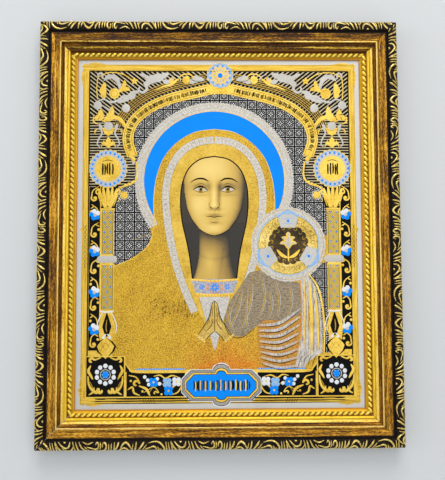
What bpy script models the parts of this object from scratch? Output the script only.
"""Framed icon panel: four mitred lengths of ornamented moulding round an etched metal plate.

Metres, +Z up, the picture facing -Y. The origin is the middle of the hanger's rear face, against the wall.
"""

import math

import bmesh
import bpy
from mathutils import Matrix, Vector

# Overall size of the frame, over the outer edges of the moulding
frame_width = 0.344
frame_height = 0.4055

# Gaps: between pieces that touch, and round the sheets that lie in the rebate
touch_gap = 0.0003
sheet_play = 0.001

# Sheets in the rebate, and how far the sight edge laps over them
plate_thickness = 0.0008
board_thickness = 0.003
tab_thickness = 0.0004
board_recess = 0.0014
rebate_width = 0.005

# Members of the moulding, from the outer edge to the sight edge: their widths as seen from the front
lip_width = 0.0096
groove_width = 0.0024
band_width = 0.0090
cavetto_width = 0.0048
bead_width = 0.0031
quirk_width = 0.0009
rope_width = 0.0029
sight_width = 0.0030

# Heights of the same members, each above the one before it, from the back to the lip
sight_lip = 0.0013
sight_rise = 0.0014
bead_rise = 0.0024
cavetto_rise = 0.0042
hollow_depth = 0.0010
band_edge_rise = 0.0002
groove_depth = 0.0008
lip_above_groove = 0.0028
lip_rise = 0.0065
lip_sweep = math.radians(120)

# Where the band falls into its hollow, and rises again to the ridge: shares of its width
band_slope = 0.35
hollow_start = 0.62
hollow_end = 0.74
ridge_start = 0.90
slope_fall = 0.2 * hollow_depth
cavetto_foot = 0.05 * cavetto_rise

# Twisted rope: length of one strand's turn, its slant, and its height above its seat
rope_pitch = 0.0052
rope_slant = 0.0022
rope_height = 0.0013
rope_valley = 0.0005
rope_shoulder = 0.0002
rope_root = 0.0008

# Leaves along the lip: length of one unit, leaf size, how deep its edges lie in the lip, and its root below
leaf_unit = 0.053
leaf_width = 0.0021
leaf_height = 0.0009
leaf_edge = 0.0002
leaf_root = 0.0006
tip_depth = 0.0003
leaf_fullness = 0.6
direction_step = 0.02

# Each leaf is a bend of three points: share of the unit's length, share of the lip from its outer side
sprays = {
    "comb": ((0.23, 0.15), (0.20, 0.50), (0.12, 0.88)),
    "feather": ((0.67, 0.14), (0.60, 0.45), (0.55, 0.89)),
}
scrolls = {
    "outer_scroll": ((0.26, 0.48), (0.36, -0.15), (0.455, 0.60)),
    "inner_scroll": ((0.19, 0.92), (0.33, 0.20), (0.39, 0.92)),
    "stem": ((0.69, 0.55), (0.83, 0.35), (0.86, 0.82)),
    "tail": ((0.75, 0.12), (1.02, 0.02), (1.00, 0.62)),
}
spray_rings = 2
scroll_rings = 3

# Toothed hanger on the back of the top rail
hanger_length = 0.045
hanger_height = 0.009
hanger_sheet = 0.0008
hanger_stand_off = 0.0025
hanger_foot = 0.0095
hanger_tooth = 0.0020
hanger_tooth_depth = 0.0012
tooth_share = 0.9
notch_overrun = 0.001

# Nails that hold the hanger
nail_head_radius = 0.0021
nail_head_height = 0.0007
nail_shank_radius = 0.0008
nail_length = 0.008

# Flat steel tabs that hold the board in the rebate
tab_width = 0.009
tab_length = 0.019
tab_grip = 0.006
tab_point = 0.35
tabs_per_rail = 2

round_sides = 10

# Sizes that follow from those above
moulding_width = (lip_width + groove_width + band_width + cavetto_width
                  + bead_width + quirk_width + rope_width + sight_width)
sight_opening_width = frame_width - 2 * moulding_width
sight_opening_height = frame_height - 2 * moulding_width
tab_level = board_recess
board_level = tab_level + tab_thickness + touch_gap
plate_level = board_level + board_thickness + touch_gap
rebate_depth = plate_level + plate_thickness + touch_gap
sight_top = rebate_depth + sight_lip
rope_seat = sight_top + sight_rise
bead_top = rope_seat + bead_rise
ridge_top = bead_top + cavetto_rise
hollow_floor = ridge_top - hollow_depth
band_edge = ridge_top + band_edge_rise
groove_floor = band_edge - groove_depth
lip_crown = groove_floor + lip_above_groove
lip_spring = lip_crown - lip_rise
lip_reach = lip_width / (1 - math.cos(lip_sweep))
rope_centre = moulding_width - sight_width - rope_width / 2
rail_back_y = -hanger_stand_off
frame_centre_z = moulding_width / 2 - frame_height / 2


def new_collection(name):
    """Link a new collection to the scene."""
    collection = bpy.data.collections.new(name)
    bpy.context.scene.collection.children.link(collection)
    return collection


def make_material(name, colour, roughness, metallic):
    """A Principled material of one plain colour."""
    material = bpy.data.materials.new(name)
    material.use_nodes = True
    shader = material.node_tree.nodes["Principled BSDF"]
    shader.inputs["Base Color"].default_value = (*colour, 1.0)
    shader.inputs["Roughness"].default_value = roughness
    shader.inputs["Metallic"].default_value = metallic
    material.diffuse_color = (*colour, 1.0)
    return material


def arc(centre, radii, start_deg, end_deg, steps):
    """Points along an elliptical arc, both ends included."""
    points = []
    for step in range(steps + 1):
        angle = math.radians(start_deg + (end_deg - start_deg) * step / steps)
        points.append((centre[0] + radii[0] * math.cos(angle), centre[1] + radii[1] * math.sin(angle)))
    return points


def lip_place(share):
    """Where a share of the lip lies: distance from the outer edge, height, and the way out."""
    angle = math.pi - lip_sweep * share
    inward = lip_reach * (1 + math.cos(angle))
    height = lip_spring + lip_rise * math.sin(angle)
    out = Vector((math.cos(angle) / lip_reach, math.sin(angle) / lip_rise)).normalized()
    return inward, height, out


def moulding_outline():
    """Section of the moulding as (distance from the outer edge, height above the back)."""
    band_start = lip_width + groove_width
    band_end = band_start + band_width
    bead_start = band_end + cavetto_width
    bead_end = bead_start + bead_width
    rope_end = moulding_width - sight_width
    rebate_wall = moulding_width - rebate_width
    bead_radius = bead_rise / 2
    lip_end_deg = 180 - math.degrees(lip_sweep)
    outline = [(0.0, 0.0)]
    outline += arc((lip_reach, lip_spring), (lip_reach, lip_rise), 180, lip_end_deg, 6)
    outline += [(lip_width, groove_floor), (band_start, groove_floor), (band_start, band_edge)]
    outline += [
        (band_start + band_slope * band_width, band_edge - slope_fall),
        (band_start + hollow_start * band_width, hollow_floor),
        (band_start + hollow_end * band_width, hollow_floor),
        (band_start + ridge_start * band_width, ridge_top),
    ]
    outline += arc((bead_start, ridge_top), (cavetto_width, cavetto_rise + cavetto_foot), 180, 270, 5)
    bead_centre = (bead_start + bead_width / 2, bead_top - bead_radius)
    outline += arc(bead_centre, (bead_width / 2, bead_radius), 180, 0, 4)
    outline += [
        (bead_end, rope_seat),
        (rope_end, rope_seat),
        (moulding_width, sight_top),
        (moulding_width, rebate_depth),
        (rebate_wall, rebate_depth),
        (rebate_wall, 0.0),
    ]
    return outline


def add_outline(name, outline, thickness):
    """A flat outline with thickness, as one closed mesh centred on its own plane."""
    curve = bpy.data.curves.new(name, "CURVE")
    curve.dimensions = "2D"
    curve.fill_mode = "BOTH"
    curve.extrude = thickness / 2
    spline = curve.splines.new("POLY")
    spline.points.add(len(outline) - 1)
    for point, place in zip(spline.points, outline):
        point.co = (place[0], place[1], 0, 1)
    spline.use_cyclic_u = True
    flat = bpy.data.objects.new(name + "_flat", curve)
    bpy.context.scene.collection.objects.link(flat)
    bpy.context.view_layer.update()
    graph = bpy.context.evaluated_depsgraph_get()
    mesh = bpy.data.meshes.new_from_object(flat.evaluated_get(graph))
    mesh.name = name
    bpy.data.objects.remove(flat)
    shape = bmesh.new()
    shape.from_mesh(mesh)
    bmesh.ops.remove_doubles(shape, verts=shape.verts, dist=1e-7)
    bmesh.ops.recalc_face_normals(shape, faces=shape.faces)
    shape.to_mesh(mesh)
    shape.free()
    return mesh


def add_object(name, mesh, collection, material=None):
    """Link a mesh as an object, with its material if it is a part."""
    piece = bpy.data.objects.new(name, mesh)
    collection.objects.link(piece)
    if material:
        mesh.materials.clear()
        mesh.materials.append(material)
    return piece


def hide_helper(helper):
    """Keep a helper out of the render, and drawn as wire."""
    helper.hide_render = True
    helper.display_type = "WIRE"


def join_with(piece, helper, operation):
    """Add a Boolean modifier that unites or cuts piece with helper."""
    modifier = piece.modifiers.new(helper.name, "BOOLEAN")
    modifier.operation = operation
    modifier.solver = "EXACT"
    modifier.object = helper
    hide_helper(helper)


def mitre(shape, rail_length, half_span):
    """Cut both ends of a rail's bmesh at 45 degrees, half a joint gap short of the corner's diagonal."""
    for side in (-1, 1):
        corner = Vector((side * (rail_length / 2 - touch_gap * math.sqrt(0.5)), 0, -half_span))
        cut = bmesh.ops.bisect_plane(
            shape,
            geom=shape.verts[:] + shape.edges[:] + shape.faces[:],
            plane_co=corner,
            plane_no=Vector((side, 0, 1)),
            clear_outer=True,
        )
        rim = [item for item in cut["geom_cut"] if isinstance(item, bmesh.types.BMEdge)]
        bmesh.ops.contextual_create(shape, geom=rim)
    bmesh.ops.recalc_face_normals(shape, faces=shape.faces)


def rail_bar(name, rail_length, half_span):
    """The plain moulding of one rail: length along X, the outer edge lowest, the back at Y 0."""
    mesh = add_outline(name, moulding_outline(), rail_length)
    stand = Matrix(((0, 0, 1, 0), (0, -1, 0, 0), (1, 0, 0, -half_span), (0, 0, 0, 1)))
    mesh.transform(stand)
    shape = bmesh.new()
    shape.from_mesh(mesh)
    mitre(shape, rail_length, half_span)
    shape.to_mesh(mesh)
    shape.free()
    return mesh


def loft(shape, sections):
    """Skin a row of sections with the same number of corners; each end is a face or a point."""
    rings = [[shape.verts.new(place) for place in section] for section in sections]
    for ring, following in zip(rings, rings[1:]):
        corners = max(len(ring), len(following))
        for corner in range(corners):
            beside = (corner + 1) % corners
            if len(ring) == 1:
                shape.faces.new((ring[0], following[beside], following[corner]))
            elif len(following) == 1:
                shape.faces.new((ring[corner], ring[beside], following[0]))
            else:
                shape.faces.new((ring[corner], ring[beside], following[beside], following[corner]))
    if len(rings[0]) > 1:
        shape.faces.new(rings[0])
    if len(rings[-1]) > 1:
        shape.faces.new(list(reversed(rings[-1])))
    bmesh.ops.recalc_face_normals(shape, faces=shape.faces)


def rope_mesh(name, rail_length, half_span):
    """The twisted rope of one rail: slanted strands, high in the middle and low between two strands."""
    run = rail_length - 2 * (moulding_width - sight_width)
    strands = 2 * max(2, round(run / rope_pitch / 2)) + 2
    pitch = run / (strands - 2)
    half = rope_width / 2
    near = rope_seat - rope_root
    shoulder = rope_seat + rope_shoulder
    sections = []
    for stop in range(2 * strands + 1):
        along = (stop / 2 - strands / 2) * pitch
        crown = rope_seat + (rope_height if stop % 2 else rope_valley)
        section = []
        for across, height in ((-1, near), (-1, shoulder), (0, crown), (1, shoulder), (1, near)):
            place_z = rope_centre + across * half - half_span
            section.append((along + across * rope_slant / 2, -height, place_z))
        sections.append(section)
    shape = bmesh.new()
    loft(shape, sections)
    mitre(shape, rail_length, half_span)
    mesh = bpy.data.meshes.new(name)
    shape.to_mesh(mesh)
    shape.free()
    return mesh


def bend_point(bend, share):
    """A point on the quadratic bend through its first and last place, pulled towards the middle one."""
    start, pull, end = (Vector(place) for place in bend)
    return start.lerp(pull, share).lerp(pull.lerp(end, share), share)


def leaf_ring(bend, share, unit_start, flipped, half_span):
    """A leaf's section on the round of the lip: two edges, a ridge between them and a root below."""
    steps = (0, direction_step, -direction_step)
    here, ahead, behind = (bend_point(bend, min(1, max(0, share + step))) for step in steps)
    if flipped:
        for place in (here, ahead, behind):
            place.y = 1 - place.y
    inward, height, out = lip_place(here.y)
    inward_to, height_to, _ = lip_place(ahead.y)
    inward_from, height_from, _ = lip_place(behind.y)
    run = (ahead.x - behind.x) * leaf_unit
    spine = Vector((run, height_from - height_to, inward_to - inward_from)).normalized()
    away = Vector((0, -out.y, out.x))
    half = spine.cross(away).normalized() * leaf_width / 2
    centre = Vector((unit_start + here.x * leaf_unit, -height, inward - half_span))
    if share in (0, 1):
        return [centre - away * tip_depth]
    swell = math.sin(math.pi * share) ** leaf_fullness
    low = centre - away * leaf_edge
    top = centre + away * leaf_height * swell
    return [low - half * swell, top, low + half * swell, low - away * leaf_root]


def leaves_mesh(name, rail_length, half_span):
    """Every leaf of one rail: units in a row, each second one flipped, and none across the mitres."""
    units = 2 * math.ceil(rail_length / leaf_unit / 2)
    shape = bmesh.new()
    for unit in range(units):
        unit_start = (unit - units / 2) * leaf_unit
        for bend in (*sprays.values(), *scrolls.values()):
            rings = spray_rings if bend in sprays.values() else scroll_rings
            shares = [ring / (rings + 1) for ring in range(rings + 2)]
            sections = [leaf_ring(bend, share, unit_start, unit % 2, half_span) for share in shares]
            reach = [abs(place.x) + place.z + half_span for section in sections for place in section]
            if max(reach) < rail_length / 2 - touch_gap:
                loft(shape, sections)
    mesh = bpy.data.meshes.new(name)
    shape.to_mesh(mesh)
    shape.free()
    return mesh


def tab_places(rail_length):
    """Where the tabs stand along a rail, measured from its middle."""
    opening = rail_length - 2 * moulding_width
    return [opening * ((index + 0.5) / tabs_per_rail - 0.5) for index in range(tabs_per_rail)]


def tab_outline(grow):
    """A tab seen from behind: a square end that bites into the rail, and a blunt point over the board."""
    half = tab_width / 2 + grow
    free = tab_length - tab_grip
    point = half * tab_point
    return [
        (-half, -tab_grip - grow),
        (half, -tab_grip - grow),
        (half, free - half),
        (point, free),
        (-point, free),
        (-half, free - half),
    ]


def tab_mesh(name, grow, half_span, place):
    """A tab, or with grow the slot that it sits in, at its place along a rail."""
    mesh = add_outline(name, tab_outline(grow), tab_thickness + 2 * grow)
    level = tab_level + tab_thickness / 2
    wall = moulding_width - rebate_width - half_span
    mesh.transform(Matrix(((1, 0, 0, place), (0, 0, 1, -level), (0, 1, 0, wall), (0, 0, 0, 1))))
    shape = bmesh.new()
    shape.from_mesh(mesh)
    bmesh.ops.recalc_face_normals(shape, faces=shape.faces)
    shape.to_mesh(mesh)
    shape.free()
    return mesh


def add_rail(name, rail_length, half_span, turn, centre, parts, helpers, materials):
    """One rail with its leaves, rope and tabs, turned about the frame's middle."""
    rail = add_object(name, rail_bar(name, rail_length, half_span), parts, materials["gilt"])
    rail.parent = centre
    rail.rotation_euler.y = turn
    raised = {"leaves": leaves_mesh, "rope": rope_mesh}
    for form, make in raised.items():
        helper = add_object(f"{name}_{form}", make(f"{name}_{form}", rail_length, half_span), helpers)
        helper.parent = centre
        helper.rotation_euler.y = turn
        join_with(rail, helper, "UNION")
    for index, place in enumerate(tab_places(rail_length), 1):
        tab_name = f"{name.replace('rail', 'tab')}_{index}"
        slot_name = tab_name + "_slot"
        slot = add_object(slot_name, tab_mesh(slot_name, touch_gap, half_span, place), helpers)
        slot.parent = centre
        slot.rotation_euler.y = turn
        join_with(rail, slot, "DIFFERENCE")
        tab = add_object(tab_name, tab_mesh(tab_name, 0, half_span, place), parts, materials["steel"])
        tab.parent = centre
        tab.rotation_euler.y = turn
    return rail


def add_sheet(name, thickness, level, centre, parts, material):
    """A flat sheet that lies in the rebate, with play all round."""
    width = sight_opening_width + 2 * (rebate_width - sheet_play)
    height = sight_opening_height + 2 * (rebate_width - sheet_play)
    bpy.ops.mesh.primitive_cube_add(size=1)
    sheet = bpy.context.object
    sheet.name = name
    sheet.data.name = name
    sheet.data.transform(Matrix.Diagonal((width, thickness, height, 1)))
    sheet.data.materials.append(material)
    sheet.parent = centre
    sheet.location = (0, -level - thickness / 2, 0)
    for collection in list(sheet.users_collection):
        collection.objects.unlink(sheet)
    parts.objects.link(sheet)
    return sheet


def cylinder_mesh(name, radius, start_y, end_y):
    """A closed cylinder along Y."""
    shape = bmesh.new()
    bmesh.ops.create_cone(
        shape,
        cap_ends=True,
        segments=round_sides,
        radius1=radius,
        radius2=radius,
        depth=abs(end_y - start_y),
    )
    bmesh.ops.rotate(shape, verts=shape.verts, matrix=Matrix.Rotation(math.pi / 2, 3, "X"))
    bmesh.ops.translate(shape, verts=shape.verts, vec=(0, (start_y + end_y) / 2, 0))
    mesh = bpy.data.meshes.new(name)
    shape.to_mesh(mesh)
    shape.free()
    return mesh


def hanger_outline():
    """The bent strip seen from above: two feet against the rail and a raised middle."""
    half = hanger_length / 2
    rise = hanger_stand_off - touch_gap - hanger_sheet
    knee = half - hanger_foot
    foot_y = -rise - hanger_sheet
    bend = hanger_sheet / 2
    return [
        (-half, foot_y),
        (-knee, foot_y),
        (-knee + rise, -hanger_sheet),
        (knee - rise, -hanger_sheet),
        (knee, foot_y),
        (half, foot_y),
        (half, foot_y + hanger_sheet),
        (knee + bend, foot_y + hanger_sheet),
        (knee - rise + bend, 0),
        (-knee + rise - bend, 0),
        (-knee - bend, foot_y + hanger_sheet),
        (-half, foot_y + hanger_sheet),
    ]


def teeth_mesh(name):
    """The notches along the lower edge of the hanger's middle, which catch on the wall's nail."""
    room = hanger_length - 2 * (hanger_foot + hanger_stand_off + hanger_tooth)
    count = max(1, int(room / hanger_tooth))
    foot = -hanger_height / 2
    shape = bmesh.new()
    for index in range(count):
        middle = (index - (count - 1) / 2) * hanger_tooth
        half = hanger_tooth * tooth_share / 2
        sections = []
        for depth in (-hanger_stand_off, hanger_stand_off):
            sections.append([
                (middle - half, depth, foot - notch_overrun),
                (middle + half, depth, foot - notch_overrun),
                (middle + half, depth, foot),
                (middle, depth, foot + hanger_tooth_depth),
                (middle - half, depth, foot),
            ])
        loft(shape, sections)
    bmesh.ops.recalc_face_normals(shape, faces=shape.faces)
    mesh = bpy.data.meshes.new(name)
    shape.to_mesh(mesh)
    shape.free()
    return mesh


def add_hanger(rail, parts, helpers, material):
    """The toothed strip, its two nails, and the holes for them in the strip and the rail."""
    mesh = add_outline("hanger", hanger_outline(), hanger_height)
    hanger = add_object("hanger", mesh, parts, material)
    join_with(hanger, add_object("hanger_teeth", teeth_mesh("hanger_teeth"), helpers), "DIFFERENCE")
    seat_y = rail_back_y + touch_gap + hanger_sheet
    nail_x = hanger_length / 2 - hanger_foot / 2
    for side, label in ((-1, "left"), (1, "right")):
        name = f"hanger_nail_{label}"
        tip_y = rail_back_y - nail_length
        hole_radius = nail_shank_radius + touch_gap
        bore = cylinder_mesh(name + "_hole", hole_radius, tip_y - touch_gap, hanger_stand_off)
        hole = add_object(name + "_hole", bore, helpers)
        hole.location.x = side * nail_x
        join_with(hanger, hole, "DIFFERENCE")
        join_with(rail, hole, "DIFFERENCE")
        pin = cylinder_mesh(name + "_shank", nail_shank_radius, tip_y, seat_y + nail_head_height)
        shank = add_object(name + "_shank", pin, helpers)
        shank.location.x = side * nail_x
        head_start = seat_y + touch_gap
        head = cylinder_mesh(name, nail_head_radius, head_start, head_start + nail_head_height)
        nail = add_object(name, head, parts, material)
        nail.location.x = side * nail_x
        join_with(nail, shank, "UNION")
    return hanger


def build():
    """Clear the scene and build the whole panel."""
    for leftover in list(bpy.data.objects):
        bpy.data.objects.remove(leftover)
    parts = new_collection("icon_panel")
    helpers = new_collection("helpers")
    materials = {
        "gilt": make_material("gilt_moulding", (0.62, 0.40, 0.09), 0.38, 0.85),
        "plate": make_material("gilt_plate", (0.83, 0.62, 0.20), 0.35, 1.0),
        "board": make_material("hardboard", (0.33, 0.21, 0.12), 0.80, 0.0),
        "steel": make_material("plated_steel", (0.62, 0.62, 0.60), 0.35, 1.0),
    }
    centre = bpy.data.objects.new("frame_centre", None)
    centre.location = (0, rail_back_y, frame_centre_z)
    parts.objects.link(centre)
    sides = (
        ("rail_bottom", frame_width, frame_height / 2, 0),
        ("rail_left", frame_height, frame_width / 2, math.pi / 2),
        ("rail_top", frame_width, frame_height / 2, math.pi),
        ("rail_right", frame_height, frame_width / 2, -math.pi / 2),
    )
    rails = {}
    for name, rail_length, half_span, turn in sides:
        rails[name] = add_rail(name, rail_length, half_span, turn, centre, parts, helpers, materials)
    add_sheet("icon_plate", plate_thickness, plate_level, centre, parts, materials["plate"])
    add_sheet("backing_board", board_thickness, board_level, centre, parts, materials["board"])
    add_hanger(rails["rail_top"], parts, helpers, materials["steel"])


build()
